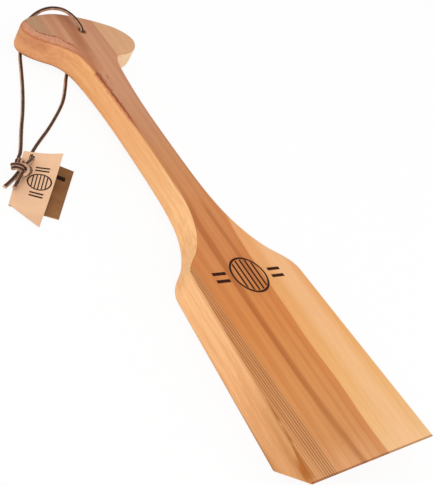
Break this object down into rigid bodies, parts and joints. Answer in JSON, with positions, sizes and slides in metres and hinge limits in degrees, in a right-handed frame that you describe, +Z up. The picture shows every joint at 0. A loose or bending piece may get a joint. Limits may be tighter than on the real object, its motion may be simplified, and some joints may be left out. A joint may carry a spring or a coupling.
{
  "type": "grill scraper",
  "caption": "Wooden paddle that scrapes a barbecue grate: bevelled blade, waisted handle and cross grip, with a knotted leather hanging lace and a folded card tag.",
  "frame": {"origin": "on the table, under the middle of the paddle's bounding box", "axes": "+X across the blade to the side away from the tag, +Y from the scraping edge to the grip, +Z up from the table"},
  "size_m": [0.1969, 0.4521, 0.0334],
  "materials": {
    "cedar": "smooth sanded, bare",
    "leather_lace": "matte",
    "kraft_card": "matte"
  },
  "bodies": {
    "root": {"paddle": "cedar", "lace": "leather_lace", "hang_tag": "kraft_card"}
  },
  "joints": []
}
